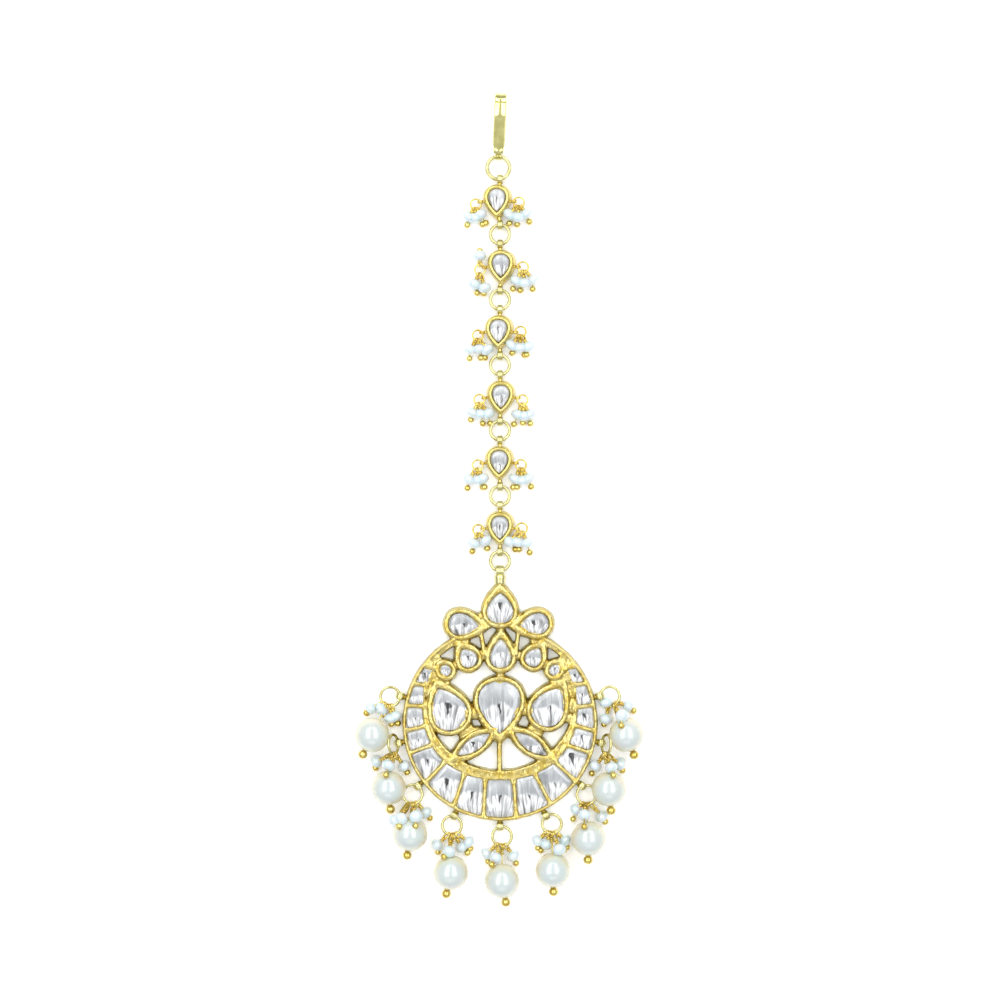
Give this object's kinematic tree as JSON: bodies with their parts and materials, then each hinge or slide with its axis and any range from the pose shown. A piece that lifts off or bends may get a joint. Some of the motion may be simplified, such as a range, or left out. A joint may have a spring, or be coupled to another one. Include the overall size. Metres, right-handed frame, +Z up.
{
  "type": "maang tikka",
  "caption": "Forehead jewel lying flat: pierced lotus pendant with flat-cut stones and hanging pearls, on a chain of small teardrop settings with a flat hook.",
  "frame": {"origin": "under the middle of the jewel's bounding box, on the surface that it lies on", "axes": "+X to the jewel's right as seen from its face, +Y along the chain towards the hook, +Z up from the surface through the stones' faces"},
  "size_m": [0.0516, 0.1462, 0.0061],
  "materials": {
    "gold": "polished gold plate",
    "strip_gold": "satin gold plate",
    "stone": "polished, flat cut over silver foil",
    "pearl": "smooth pearl lustre",
    "seed_pearl": "smooth pearl lustre"
  },
  "bodies": {
    "root": {"pendant_frame": "gold", "crescent_stones": "stone", "stone_top_petal": "stone", "stone_petal_left": "stone", "stone_petal_right": "stone", "stone_row_centre": "stone", "stone_row_left": "stone", "stone_row_right": "stone", "stone_tiny_left": "stone", "stone_tiny_right": "stone", "stone_main_centre": "stone", "stone_main_left": "stone", "stone_main_right": "stone", "stone_slim_left": "stone", "stone_slim_right": "stone", "drop_1_pearl": "pearl", "drop_1_seeds": "seed_pearl", "drop_2_pearl": "pearl", "drop_2_seeds": "seed_pearl", "drop_3_pearl": "pearl", "drop_3_seeds": "seed_pearl", "drop_4_pearl": "pearl", "drop_4_seeds": "seed_pearl", "drop_5_pearl": "pearl", "drop_5_seeds": "seed_pearl", "drop_6_pearl": "pearl", "drop_6_seeds": "seed_pearl", "drop_7_pearl": "pearl", "drop_7_seeds": "seed_pearl", "drop_8_pearl": "pearl", "drop_8_seeds": "seed_pearl", "drop_9_pearl": "pearl", "drop_9_seeds": "seed_pearl", "unit_1": "gold", "unit_1_left": "seed_pearl", "unit_1_right": "seed_pearl", "unit_2": "gold", "unit_2_left": "seed_pearl", "unit_2_right": "seed_pearl", "unit_3": "gold", "unit_3_left": "seed_pearl", "unit_3_right": "seed_pearl", "unit_4": "gold", "unit_4_left": "seed_pearl", "unit_4_right": "seed_pearl", "unit_5": "gold", "unit_5_left": "seed_pearl", "unit_5_right": "seed_pearl", "unit_6": "gold", "unit_6_left": "seed_pearl", "unit_6_right": "seed_pearl", "chain_ring_0": "gold", "chain_ring_1": "gold", "chain_ring_2": "gold", "chain_ring_3": "gold", "chain_ring_4": "gold", "chain_ring_5": "gold", "chain_ring_6": "gold", "hook": "strip_gold"}
  },
  "joints": []
}
